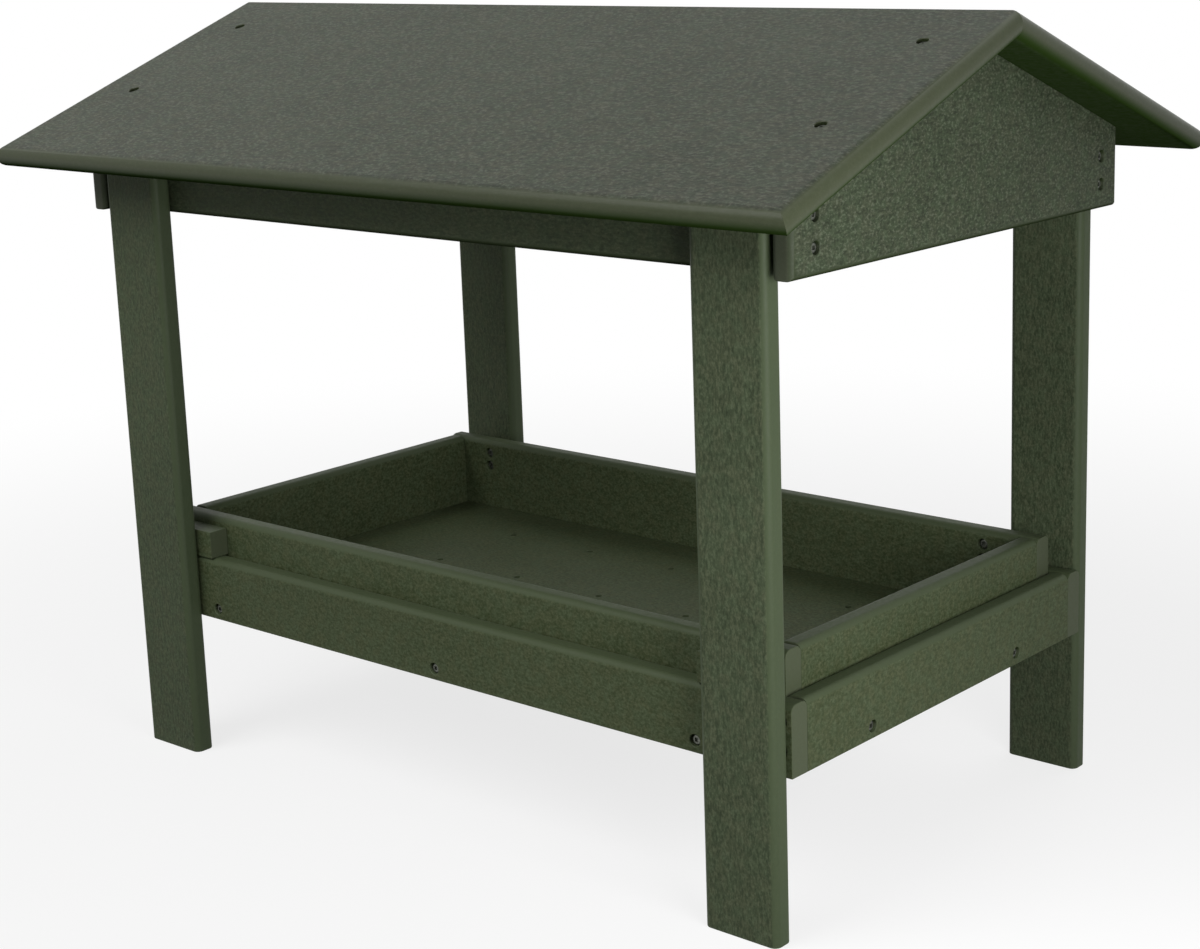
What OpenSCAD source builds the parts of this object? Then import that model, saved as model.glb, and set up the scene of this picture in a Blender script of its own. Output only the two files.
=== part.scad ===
// Covered ground bird feeder in recycled plastic boards.
// X runs along the ridge, Y from front to rear and Z up. The origin is on the
// ground, midway between the four legs. All sizes are in millimetres.

/* [Boards] */
// Thickness of every board
board_t = 16; // [12:0.5:20]
// Radius that eases the edges of the flat boards
edge_r = 5; // [1:0.25:6]
// Width of a leg
leg_w = 57; // [42:1:64]
// Height of a leg
leg_h = 460; // [380:5:560]

/* [Frame] */
// Length over the outer edges of the legs
frame_l = 612; // [480:2:720]
// Depth over the outer faces of the legs
frame_d = 374; // [300:2:460]
// Height of a top rail, which a leg laps up to its top
rail_h = 47; // [42:1:56]
// How far a top rail runs past the legs at each end
rail_over = 3; // [2:0.5:10]

/* [Tray] */
// Height of the skirt's lower edge above the ground
skirt_z = 106; // [70:1:150]
// Height of a skirt rail
skirt_h = 47; // [44:1:60]
// How far the skirt runs past the legs at each end
skirt_over = 2; // [1:0.5:8]
// How far the tray boards stand above the skirt
tray_rise = 27; // [24:1:45]
// Gap round the floor board
floor_gap = 0.5; // [0.3:0.1:0.8]
// Length of the block between a tray board and a leg
spacer_l = 41; // [36:1:64]
// How far that block shows past the leg
spacer_out = 14; // [11:0.5:18]
// How far its top lies below the top of the tray
spacer_drop = 6.5; // [3:0.5:7]
// Diameter of a drain hole in the floor
drain_d = 5; // [3:0.5:5.5]
// Distance between drain holes
drain_step = 84; // [60:2:90]
// Drain holes along the floor
drain_nx = 5; // [1:1:5]
// Drain holes across the floor
drain_ny = 3; // [1:1:3]

/* [Roof] */
// Slope of the roof in degrees
pitch = 21.2; // [16:0.1:28]
// Length of a roof panel down its slope, from ridge to eave
slope_l = 260; // [245:1:300]
// Roof past the outer face of a gable
roof_over = 36.5; // [26:0.5:60]
// How far the ends of a gable are set in from the faces of the legs
gable_inset = 1.5; // [1:0.5:8]
// Flat left between the two curves of a roof panel's nose
nose_flat = 0.6; // [0.4:0.1:4]
// Gap between the top of a leg and the roof above it
roof_gap = 5.4; // [2:0.2:10]

/* [Screws] */
// Diameter of a screw's shank
screw_d = 4; // [3:0.1:4.5]
// Diameter of a screw's head
head_d = 7.4; // [6.5:0.1:7.6]
// Height of a screw's head
head_h = 2.6; // [2:0.1:3]
// Width of the square recess that drives it
drive_w = 2.7; // [2:0.1:3]
// Depth of that recess
drive_z = 1.4; // [1:0.1:1.8]
// Diameter of the counterbore that a head sits in
bore_d = 8; // [7.8:0.1:9]
// Depth of that counterbore
bore_z = 4.5; // [3.5:0.1:6]
// Gap round the shank in its hole
screw_gap = 0.1; // [0.05:0.05:0.2]
// Board that a screw leaves between its tip and the face beyond it
tip_wall = 3; // [1.5:0.1:4]
// Length of the screws that go into the end or the edge of a board
long_screw = 38; // [26:1:42]
// Ridge to the upper roof screw, down the slope
roof_screw_top = 45; // [30:1:80]
// Lower end of a gable's slope to the lower roof screw
roof_screw_end = 42; // [30:1:70]
// Lower edge of a rail to its lower screw
low_screw = 17; // [14:0.5:19]
// Distance between the two screws of a pair in a rail
pair_step = 19; // [14:0.5:20]
// Inner edge of a leg to the screws that hold it
leg_screw_in = 18; // [12:0.5:24]
// Lower edge of a top rail to the lower of its leg screws
leg_screw_low = 10; // [9:0.5:12]
// Upper and lower edge of the skirt above the floor to its leg screws
leg_screw_edge = 8; // [7:0.5:9]
// Inner end of a spacer block to its screws
spacer_screw_in = 12; // [7:0.5:14]
// Top of a tray board to the upper of those screws
spacer_screw_top = 11; // [10:0.5:12]
// Distance between the two screws of a block
spacer_screw_step = 11; // [10:0.5:11.5]
// End of a long skirt rail to its first floor screw
floor_screw_end = 76; // [50:1:110]
// Inside of the skirt to the first floor screw of an end rail
floor_screw_side = 69; // [45:1:100]
// Distance between the screws that rise from the floor into a tray board
rise_screw_step = 104; // [80:2:116]

/* [Hidden] */
$fn = 48;

FRONT = -1;
REAR = 1;
LEFT = -1;
RIGHT = 1;
board_green = [0.20, 0.26, 0.18];
roof_green = [0.30, 0.34, 0.29];
steel = [0.62, 0.62, 0.60];
past = 1;

// Faces across the feeder, from the outside of a leg inwards
leg_out_y = frame_d / 2;
rail_out_y = leg_out_y - board_t;
tray_out_y = rail_out_y - board_t;
tray_in_y = tray_out_y - board_t;

// Ends along the feeder
leg_out_x = frame_l / 2;
leg_in_x = leg_out_x - leg_w;
skirt_out_x = leg_out_x + skirt_over;
tray_out_x = skirt_out_x - board_t;
tray_in_x = tray_out_x - board_t;
spacer_in_x = leg_in_x - spacer_out;
gable_in_x = leg_out_x + rail_over;
gable_out_x = gable_in_x + board_t;
roof_out_x = gable_out_x + roof_over;

// Heights
floor_top = skirt_z + board_t;
skirt_top = skirt_z + skirt_h;
tray_top = skirt_top + tray_rise;
tray_h = tray_top - floor_top;
rail_z = leg_h - rail_h;

// Gable and roof
gable_out_y = leg_out_y - gable_inset;
gable_side_h = rail_h + roof_gap + gable_inset * tan(pitch);
gable_peak = rail_z + gable_side_h + gable_out_y * tan(pitch);
ridge_z = gable_peak + board_t / cos(pitch);
nose_r = (board_t - nose_flat) / 2;

// Screws
seat_t = board_t - bore_z;
face_screw = seat_t + board_t - tip_wall;
rise_screw = long_screw - tip_wall;

// A rectangle a by b about the origin, its corners rounded
module rounded_rect(a, b, r) {
    square([a - 2 * r, b], center = true);
    square([a, b - 2 * r], center = true);
    for (i = [-1, 1], j = [-1, 1])
        translate([i * (a / 2 - r), j * (b / 2 - r)]) circle(r);
}

// A board along X that stands on z = 0, with its long edges eased and its ends cut square
module cut_board(l, h) {
    translate([0, 0, h / 2]) rotate([90, 0, 90])
        linear_extrude(l, center = true) rounded_rect(board_t, h, edge_r);
}

// The same board with its ends eased too
module eased_board(l, h) {
    intersection() {
        cut_board(l + 2 * past, h);
        translate([0, 0, -past]) linear_extrude(h + 2 * past) rounded_rect(l, board_t, edge_r);
    }
}

// One screw: its head sits on z = 0 and its shank points down
module screw(l) {
    r = screw_d / 2;
    difference() {
        rotate_extrude() polygon([
            [0, -l], [r * 0.3, -l], [r, -l + r * 2], [r, 0], [head_d / 2, 0],
            [head_d / 2, head_h * 0.55], [head_d / 2 - head_h * 0.45, head_h], [0, head_h]
        ]);
        translate([0, 0, head_h]) cube([drive_w, drive_w, 2 * drive_z], center = true);
    }
}

// The hole for that screw, its counterbore open above z = 0
module screw_hole(l) {
    cylinder(h = bore_z + past, d = bore_d);
    translate([0, 0, -l - past]) cylinder(h = l + 2 * past, d = screw_d + 2 * screw_gap);
}

// Puts children at each seat, given as a point on a board's face and a turn
module at_seats(seats) {
    for (s = seats) translate(s[0]) rotate(s[1]) translate([0, 0, -bore_z]) children();
}

function facing_y(s) = [-90 * s, 0, 0];
function facing_x(s) = [0, 90 * s, 0];
facing_down = [180, 0, 0];

// The heights of a pair of screws whose lower one is at height z
function pair_z(z) = [z, z + pair_step];

// Roof panels to gables
slope_screws = [roof_screw_top, gable_out_y / cos(pitch) - roof_screw_end];
function roof_seats(sy) = [
    for (sx = [LEFT, RIGHT], s = slope_screws)
        [[sx * (gable_in_x + board_t / 2), sy * s * cos(pitch), ridge_z - s * sin(pitch)],
         [-sy * pitch, 0, 0]]
];

// Gables to the ends of the top rails
function gable_seats(sx) = [
    for (sy = [FRONT, REAR], z = pair_z(rail_z + low_screw))
        [[sx * gable_out_x, sy * (rail_out_y - board_t / 2), z], facing_x(sx)]
];

// Top rails to legs, from the inside
function leg_top_seats(sy) = [
    for (sx = [LEFT, RIGHT], z = pair_z(rail_z + leg_screw_low))
        [[sx * (leg_in_x + leg_screw_in), sy * tray_out_y, z], facing_y(-sy)]
];

// Skirt rails to legs, from the inside and above the floor
function leg_tray_seats(sy) = [
    for (sx = [LEFT, RIGHT], z = [floor_top + leg_screw_edge, skirt_top - leg_screw_edge])
        [[sx * (leg_in_x + leg_screw_in), sy * tray_out_y, z], facing_y(-sy)]
];

// Long skirt rails to the ends of the short ones
function skirt_corner_seats(sy) = [
    for (sx = [LEFT, RIGHT], z = pair_z(skirt_z + low_screw))
        [[sx * (skirt_out_x - board_t / 2), sy * rail_out_y, z], facing_y(sy)]
];

// Skirt rails to the edges of the floor
function long_floor_seats(sy) = [
    for (k = [-1, 0, 1])
        [[k * (skirt_out_x - floor_screw_end), sy * rail_out_y, skirt_z + board_t / 2], facing_y(sy)]
];
function end_floor_seats(sx) = [
    for (k = [-1, 1])
        [[sx * skirt_out_x, k * (tray_out_y - floor_screw_side), skirt_z + board_t / 2], facing_x(sx)]
];

// Long tray boards to the spacer blocks, from inside the tray
function spacer_seats(sy) = [
    for (sx = [LEFT, RIGHT], k = [0, 1])
        [[sx * (spacer_in_x + spacer_screw_in), sy * tray_in_y,
          tray_top - spacer_screw_top - k * spacer_screw_step], facing_y(-sy)]
];

// Long tray boards to the ends of the short ones
function tray_joint_seats(sy) = [
    for (sx = [LEFT, RIGHT], z = [floor_top + low_screw, tray_top - low_screw])
        [[sx * (tray_out_x - board_t / 2), sy * tray_out_y, z], facing_y(sy)]
];

// Floor to the lower edges of the tray boards
function long_rise_seats(sy) = [
    for (k = [-1.5, -0.5, 0.5, 1.5])
        [[k * rise_screw_step, sy * (tray_in_y + board_t / 2), skirt_z], facing_down]
];
function end_rise_seats(sx) = [
    for (k = [-0.5, 0.5])
        [[sx * (tray_in_x + board_t / 2), k * rise_screw_step, skirt_z], facing_down]
];

module leg(sx, sy) {
    color(board_green) difference() {
        translate([sx * (leg_out_x - leg_w / 2), sy * (leg_out_y - board_t / 2), 0])
            linear_extrude(leg_h) rounded_rect(leg_w, board_t, edge_r);
        at_seats([for (s = leg_top_seats(sy)) if (s[0][0] * sx > 0) s]) screw_hole(face_screw);
        at_seats([for (s = leg_tray_seats(sy)) if (s[0][0] * sx > 0) s]) screw_hole(face_screw);
    }
}

module skirt_rail_long(sy) {
    color(board_green) difference() {
        translate([0, sy * (rail_out_y - board_t / 2), skirt_z])
            eased_board(2 * skirt_out_x, skirt_h);
        at_seats(leg_tray_seats(sy)) screw_hole(face_screw);
        at_seats(skirt_corner_seats(sy)) screw_hole(long_screw);
        at_seats(long_floor_seats(sy)) screw_hole(long_screw);
    }
}

module skirt_rail_end(sx) {
    color(board_green) difference() {
        translate([sx * (skirt_out_x - board_t / 2), 0, skirt_z]) rotate([0, 0, 90])
            cut_board(2 * tray_out_y, skirt_h);
        for (sy = [FRONT, REAR])
            at_seats([for (s = skirt_corner_seats(sy)) if (s[0][0] * sx > 0) s]) screw_hole(long_screw);
        at_seats(end_floor_seats(sx)) screw_hole(long_screw);
    }
}

module tray_board_long(sy) {
    color(board_green) difference() {
        translate([0, sy * (tray_out_y - board_t / 2), floor_top])
            eased_board(2 * tray_out_x, tray_h);
        at_seats(spacer_seats(sy)) screw_hole(face_screw);
        at_seats(tray_joint_seats(sy)) screw_hole(long_screw);
        at_seats(long_rise_seats(sy)) screw_hole(rise_screw);
    }
}

module tray_board_end(sx) {
    color(board_green) difference() {
        translate([sx * (tray_out_x - board_t / 2), 0, floor_top]) rotate([0, 0, 90])
            cut_board(2 * tray_in_y, tray_h);
        for (sy = [FRONT, REAR])
            at_seats([for (s = tray_joint_seats(sy)) if (s[0][0] * sx > 0) s]) screw_hole(long_screw);
        at_seats(end_rise_seats(sx)) screw_hole(rise_screw);
    }
}

module tray_floor() {
    color(board_green) difference() {
        translate([0, 0, skirt_z + board_t / 2])
            cube([2 * (tray_out_x - floor_gap), 2 * (tray_out_y - floor_gap), board_t], center = true);
        for (i = [0 : drain_nx - 1], j = [0 : drain_ny - 1])
            translate([(i - (drain_nx - 1) / 2) * drain_step, (j - (drain_ny - 1) / 2) * drain_step,
                       skirt_z - past])
                cylinder(h = board_t + 2 * past, d = drain_d);
        for (sy = [FRONT, REAR]) {
            at_seats(long_floor_seats(sy)) screw_hole(long_screw);
            at_seats(long_rise_seats(sy)) screw_hole(rise_screw);
        }
        for (sx = [LEFT, RIGHT]) {
            at_seats(end_floor_seats(sx)) screw_hole(long_screw);
            at_seats(end_rise_seats(sx)) screw_hole(rise_screw);
        }
    }
}

// A block cut from the same board: it stands on the skirt rail
module tray_spacer(sx, sy) {
    color(board_green) difference() {
        translate([sx * (spacer_in_x + spacer_l / 2), sy * (rail_out_y - board_t / 2), skirt_top])
            linear_extrude(tray_rise - spacer_drop) square([spacer_l, board_t], center = true);
        at_seats([for (s = spacer_seats(sy)) if (s[0][0] * sx > 0) s]) screw_hole(face_screw);
    }
}

module top_rail(sy) {
    color(board_green) difference() {
        translate([0, sy * (rail_out_y - board_t / 2), rail_z])
            cut_board(2 * gable_in_x, rail_h);
        at_seats(leg_top_seats(sy)) screw_hole(face_screw);
        for (sx = [LEFT, RIGHT])
            at_seats([for (s = gable_seats(sx)) if (s[0][1] * sy > 0) s]) screw_hole(long_screw);
    }
}

// A house-shaped board: its lower and upright edges are eased, and its two
// sloping edges stay square to carry the roof
module gable(sx) {
    side_z = rail_z + gable_side_h;
    color(board_green) difference() {
        intersection() {
            translate([sx * (gable_in_x + board_t / 2), 0, 0]) rotate([90, 0, 90])
                linear_extrude(board_t, center = true) polygon([
                    [-gable_out_y, rail_z], [gable_out_y, rail_z], [gable_out_y, side_z],
                    [0, gable_peak], [-gable_out_y, side_z]
                ]);
            translate([sx * (gable_in_x + board_t / 2), 0, rail_z - past])
                linear_extrude(gable_peak - rail_z + 2 * past)
                    rounded_rect(board_t, 2 * gable_out_y, edge_r);
            translate([sx * (gable_in_x + board_t / 2), 0, (rail_z + ridge_z) / 2]) rotate([90, 0, 0])
                linear_extrude(2 * (gable_out_y + past), center = true)
                    rounded_rect(board_t, ridge_z - rail_z, edge_r);
        }
        at_seats(gable_seats(sx)) screw_hole(long_screw);
        for (sy = [FRONT, REAR])
            at_seats([for (s = roof_seats(sy)) if (s[0][0] * sx > 0) s]) screw_hole(long_screw);
    }
}

// The rear half of the roof before it is tilted, with its ridge along the X axis: mitred
// upright at the ridge, with a round nose along the eave and along both ends
module rear_slope() {
    intersection() {
        rotate([90, 0, 90]) linear_extrude(2 * (roof_out_x + past), center = true) difference() {
            translate([0, -board_t / 2]) rounded_rect(2 * slope_l, board_t, nose_r);
            polygon([
                [-slope_l - past, past], [-past * tan(pitch), past],
                [(board_t + past) * tan(pitch), -board_t - past], [-slope_l - past, -board_t - past]
            ]);
        }
        translate([0, slope_l / 2, -board_t / 2]) rotate([90, 0, 0])
            linear_extrude(slope_l + 2 * past, center = true)
                rounded_rect(2 * roof_out_x, board_t, nose_r);
    }
}

module roof_panel(sy) {
    color(roof_green) difference() {
        mirror([0, sy == FRONT ? 1 : 0, 0])
            translate([0, 0, ridge_z]) rotate([-pitch, 0, 0]) rear_slope();
        at_seats(roof_seats(sy)) screw_hole(long_screw);
    }
}

module roof_screws() {
    color(steel) for (sy = [FRONT, REAR]) at_seats(roof_seats(sy)) screw(long_screw);
}

module gable_screws() {
    color(steel) for (sx = [LEFT, RIGHT]) at_seats(gable_seats(sx)) screw(long_screw);
}

module leg_top_screws() {
    color(steel) for (sy = [FRONT, REAR]) at_seats(leg_top_seats(sy)) screw(face_screw);
}

module leg_tray_screws() {
    color(steel) for (sy = [FRONT, REAR]) at_seats(leg_tray_seats(sy)) screw(face_screw);
}

module skirt_corner_screws() {
    color(steel) for (sy = [FRONT, REAR]) at_seats(skirt_corner_seats(sy)) screw(long_screw);
}

module skirt_floor_screws() {
    color(steel) for (s = [-1, 1]) {
        at_seats(long_floor_seats(s)) screw(long_screw);
        at_seats(end_floor_seats(s)) screw(long_screw);
    }
}

module tray_spacer_screws() {
    color(steel) for (sy = [FRONT, REAR]) at_seats(spacer_seats(sy)) screw(face_screw);
}

module tray_joint_screws() {
    color(steel) for (sy = [FRONT, REAR]) at_seats(tray_joint_seats(sy)) screw(long_screw);
}

module tray_rise_screws() {
    color(steel) for (s = [-1, 1]) {
        at_seats(long_rise_seats(s)) screw(rise_screw);
        at_seats(end_rise_seats(s)) screw(rise_screw);
    }
}

leg(LEFT, FRONT);  // leg_front_left
leg(RIGHT, FRONT);  // leg_front_right
leg(LEFT, REAR);  // leg_rear_left
leg(RIGHT, REAR);  // leg_rear_right
skirt_rail_long(FRONT);  // skirt_rail_front
skirt_rail_long(REAR);  // skirt_rail_rear
skirt_rail_end(LEFT);  // skirt_rail_left
skirt_rail_end(RIGHT);  // skirt_rail_right
tray_board_long(FRONT);  // tray_board_front
tray_board_long(REAR);  // tray_board_rear
tray_board_end(LEFT);  // tray_board_left
tray_board_end(RIGHT);  // tray_board_right
tray_floor();
tray_spacer(LEFT, FRONT);  // tray_spacer_front_left
tray_spacer(RIGHT, FRONT);  // tray_spacer_front_right
tray_spacer(LEFT, REAR);  // tray_spacer_rear_left
tray_spacer(RIGHT, REAR);  // tray_spacer_rear_right
top_rail(FRONT);  // top_rail_front
top_rail(REAR);  // top_rail_rear
gable(LEFT);  // gable_left
gable(RIGHT);  // gable_right
roof_panel(FRONT);  // roof_panel_front
roof_panel(REAR);  // roof_panel_rear
roof_screws();
gable_screws();
leg_top_screws();
leg_tray_screws();
skirt_corner_screws();
skirt_floor_screws();
tray_spacer_screws();
tray_joint_screws();
tray_rise_screws();
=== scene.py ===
"""The looks of a covered ground bird feeder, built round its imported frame.

Every board is modelled again from a block at the size and place that the frame gives, with its
edges rounded and its screw holes drilled, and gets the mottled finish of recycled plastic board.
All sizes are in metres. X runs along the ridge, Y from front to rear and Z up.
"""
import logging
import math
from dataclasses import dataclass, field
from enum import Enum
from typing import Callable, Iterable, Sequence

import bmesh
import bpy
from mathutils import Matrix, Vector


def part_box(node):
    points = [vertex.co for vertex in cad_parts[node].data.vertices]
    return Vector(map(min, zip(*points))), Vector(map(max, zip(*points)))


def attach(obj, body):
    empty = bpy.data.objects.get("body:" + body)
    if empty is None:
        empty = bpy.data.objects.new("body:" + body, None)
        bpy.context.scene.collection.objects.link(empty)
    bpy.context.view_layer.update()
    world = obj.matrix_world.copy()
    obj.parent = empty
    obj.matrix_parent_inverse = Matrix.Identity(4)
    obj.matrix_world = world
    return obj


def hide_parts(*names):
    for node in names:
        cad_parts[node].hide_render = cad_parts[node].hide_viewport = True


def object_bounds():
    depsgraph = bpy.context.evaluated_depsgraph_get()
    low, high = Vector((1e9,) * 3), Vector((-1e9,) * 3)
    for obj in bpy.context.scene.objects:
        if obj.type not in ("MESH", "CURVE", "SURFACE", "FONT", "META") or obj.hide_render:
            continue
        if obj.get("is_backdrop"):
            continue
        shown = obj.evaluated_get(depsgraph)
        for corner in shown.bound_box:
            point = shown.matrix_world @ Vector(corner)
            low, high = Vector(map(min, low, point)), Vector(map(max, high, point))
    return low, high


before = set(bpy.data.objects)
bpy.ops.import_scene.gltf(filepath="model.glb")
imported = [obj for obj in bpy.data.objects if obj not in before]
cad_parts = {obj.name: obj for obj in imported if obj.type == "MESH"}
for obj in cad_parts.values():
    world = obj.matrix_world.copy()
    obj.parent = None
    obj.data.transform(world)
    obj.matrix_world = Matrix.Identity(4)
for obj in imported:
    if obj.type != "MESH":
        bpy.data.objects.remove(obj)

log = logging.getLogger("feeder")
Colour = tuple[float, float, float, float]
Range = tuple[float, float]
EdgeTest = Callable[[Vector, Vector], bool]
MM = 0.001
BODY = "root"
ROOF_PITCH = math.radians(21.2)
WHITE: Colour = (1.0, 1.0, 1.0, 1.0)
# An edge runs along an axis when its direction has at least this share of it.
ALONG = 0.99
# The Mix node names its sockets alike for numbers, vectors and colours, so the colour ones go by number.
MIX_FACTOR, MIX_FIRST, MIX_SECOND, MIX_RESULT = 0, 6, 7, 2


class Axis(Enum):
    """A direction of the frame, used for the way that a board's grain runs."""

    X = 0
    Y = 1
    Z = 2


class Edges(Enum):
    """Which of a straight board's long edges are rounded with the router."""

    NONE = "none"
    UPPER = "upper"
    ALL = "all"


class Slot(Enum):
    """The record's material slots."""

    BOARD = "green_board"
    ROOF = "roof_board"
    STEEL = "steel"


def extent(points: Iterable[Sequence[float]]) -> tuple[Vector, Vector]:
    """The lowest and the highest corner of the box round some points."""
    rows = list(zip(*points))
    return Vector([min(row) for row in rows]), Vector([max(row) for row in rows])


def outlook(azimuth: float, height: float) -> Vector:
    """Turns two angles into a direction from the object to what stands round it.

    Args:
        azimuth: How far it stands round from the front towards the right, in degrees.
        height: How far it stands above the horizon, in degrees.

    Returns:
        The direction, with a length of 1.
    """
    turn, rise = math.radians(azimuth), math.radians(height)
    return Vector((math.sin(turn) * math.cos(rise), -math.cos(turn) * math.cos(rise), math.sin(rise)))


class Signal:
    """A shader socket that arithmetic can be written on."""

    def __init__(self, graph: "FinishGraph", socket: bpy.types.NodeSocket) -> None:
        """Wraps a socket.

        Args:
            graph: The graph that new Math nodes go into.
            socket: The output that this signal stands for.
        """
        self.graph = graph
        self.socket = socket

    def _math(self, operation: str, first: "Signal | float", second: "Signal | float") -> "Signal":
        """Adds a Math node.

        Args:
            operation: The node's operation.
            first: Its first input.
            second: Its second input.

        Returns:
            The node's result.
        """
        node = self.graph.node("ShaderNodeMath", {"operation": operation}, {0: first, 1: second})
        return Signal(self.graph, node.outputs[0])

    def __add__(self, other: "Signal | float") -> "Signal":
        """Sum."""
        return self._math("ADD", self, other)

    def __radd__(self, other: float) -> "Signal":
        """Sum with a number on the left."""
        return self._math("ADD", other, self)

    def __rsub__(self, other: float) -> "Signal":
        """Difference with a number on the left."""
        return self._math("SUBTRACT", other, self)

    def __mul__(self, other: "Signal | float") -> "Signal":
        """Product."""
        return self._math("MULTIPLY", self, other)

    def __rmul__(self, other: float) -> "Signal":
        """Product with a number on the left."""
        return self._math("MULTIPLY", other, self)

    def largest(self, other: "Signal | float") -> "Signal":
        """The larger of two values at each point."""
        return self._math("MAXIMUM", self, other)

    def size(self) -> "Signal":
        """The value without its sign."""
        return self._math("ABSOLUTE", self, 0.0)

    def between(self, low: float, high: float) -> "Signal":
        """A smooth step.

        Args:
            low: The value that gives 0.
            high: The value that gives 1.

        Returns:
            A mask from 0 to 1.
        """
        node = self.graph.node(
            "ShaderNodeMapRange",
            {"interpolation_type": "SMOOTHSTEP"},
            {"Value": self, "From Min": low, "From Max": high},
        )
        return Signal(self.graph, node.outputs["Result"])


class FinishGraph:
    """A node tree of a material or of the world."""

    def __init__(self, tree: bpy.types.NodeTree) -> None:
        """Takes over a node tree and empties it.

        Args:
            tree: The tree.
        """
        self.tree = tree
        self.tree.nodes.clear()

    @staticmethod
    def new_material(name: str) -> "tuple[bpy.types.Material, FinishGraph]":
        """Makes an empty material.

        Args:
            name: The material's name.

        Returns:
            The material and its graph.
        """
        material = bpy.data.materials.new(name)
        material.use_nodes = True
        return material, FinishGraph(material.node_tree)

    def node(self, kind: str, settings: dict | None = None, sockets: dict | None = None) -> bpy.types.Node:
        """Adds any node.

        Args:
            kind: The node's type.
            settings: Its own properties, which are set first.
            sockets: Values or signals for its inputs, by name or number.

        Returns:
            The node.
        """
        node = self.tree.nodes.new(kind)
        for key, value in (settings or {}).items():
            setattr(node, key, value)
        for key, value in (sockets or {}).items():
            if isinstance(value, Signal):
                self.tree.links.new(value.socket, node.inputs[key])
            else:
                node.inputs[key].default_value = value
        return node

    def signal(
        self, kind: str, output: str | int, settings: dict | None = None, sockets: dict | None = None
    ) -> Signal:
        """Adds a node and wraps one of its outputs."""
        return Signal(self, self.node(kind, settings, sockets).outputs[output])

    def vector(self, operation: str, first: Signal, second: Signal | Sequence[float]) -> Signal:
        """Adds a Vector Math node and returns its vector."""
        return self.signal("ShaderNodeVectorMath", "Vector", {"operation": operation}, {0: first, 1: second})

    def blend(self, factor: Signal | float, first: Signal | Colour, second: Signal | Colour) -> Signal:
        """Mixes two colours.

        Args:
            factor: The share of the second colour.
            first: The colour at 0.
            second: The colour at 1.

        Returns:
            The mixed colour.
        """
        settings = {"data_type": "RGBA", "clamp_factor": True}
        sockets = {MIX_FACTOR: factor, MIX_FIRST: first, MIX_SECOND: second}
        return self.signal("ShaderNodeMix", MIX_RESULT, settings, sockets)

    def noise(self, place: Signal, scale: float, detail: float, roughness: float = 0.55) -> Signal:
        """Adds a noise texture and returns its value."""
        sockets = {"Vector": place, "Scale": scale, "Detail": detail, "Roughness": roughness}
        return self.signal("ShaderNodeTexNoise", "Fac", None, sockets)

    def mix(self, factor: Signal, first: bpy.types.Node, second: bpy.types.Node) -> bpy.types.Node:
        """Mixes two shaders.

        Args:
            factor: The share of the second one.
            first: The shader at 0.
            second: The shader at 1.

        Returns:
            The Mix Shader node.
        """
        mixed = self.node("ShaderNodeMixShader", None, {0: factor})
        for socket, shader in zip(mixed.inputs[1:], (first, second)):
            self.tree.links.new(shader.outputs[0], socket)
        return mixed

    def surface(self, shader: bpy.types.Node, output: str = "ShaderNodeOutputMaterial") -> None:
        """Links a shader to a new output node."""
        self.tree.links.new(shader.outputs[0], self.node(output).inputs["Surface"])


@dataclass(frozen=True)
class Mottle:
    """How the pattern is put together. It is the same on every board.

    Each range gives the values of a noise or a direction that count as none and as all.

    Attributes:
        shift: The step between two boards' patterns, along each axis, in metres.
        detail: Layers of each noise.
        streak_broken: How ragged the streaks are.
        grit_broken: How ragged the specks are.
        cloud_range: Range of the slow changes of tone.
        streak_range: Range of the streaks.
        grit_range: Range of the specks.
        drift_range: Range of the browner patches.
        pale_range: Range of the specks that are pale enough to get their own colour.
        tone_shares: What clouds, streaks and specks each give to the tone.
        relief_shares: What streaks and specks each give to the relief.
        relief_strength: Strength of the relief.
        streak_dull: How much rougher a streak is.
        square_range: How squarely a face looks along a direction before it counts as turned that way.
        ground_range: How far a face looks down before it gets the painted shade of the faces turned to the
            ground.
        routed_share: How much of its own colour a narrow face shows.
        routed_calm: How much of the pattern a narrow face loses.
        shaded_tone: How much of the pattern a face with that painted shade keeps.
    """

    shift: tuple[float, float, float] = (0.37, 0.59, 0.83)
    detail: float = 2.0
    streak_broken: float = 0.6
    grit_broken: float = 0.7
    cloud_range: Range = (0.3, 0.7)
    streak_range: Range = (0.32, 0.68)
    grit_range: Range = (0.3, 0.7)
    drift_range: Range = (0.4, 0.6)
    pale_range: Range = (0.7, 0.95)
    tone_shares: tuple[float, float, float] = (0.1, 0.43, 0.47)
    relief_shares: tuple[float, float] = (0.4, 0.6)
    relief_strength: float = 0.5
    streak_dull: float = 0.1
    square_range: Range = (0.9, 0.995)
    ground_range: Range = (0.05, 0.8)
    routed_share: float = 0.88
    routed_calm: float = 0.85
    shaded_tone: float = 0.35


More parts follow.
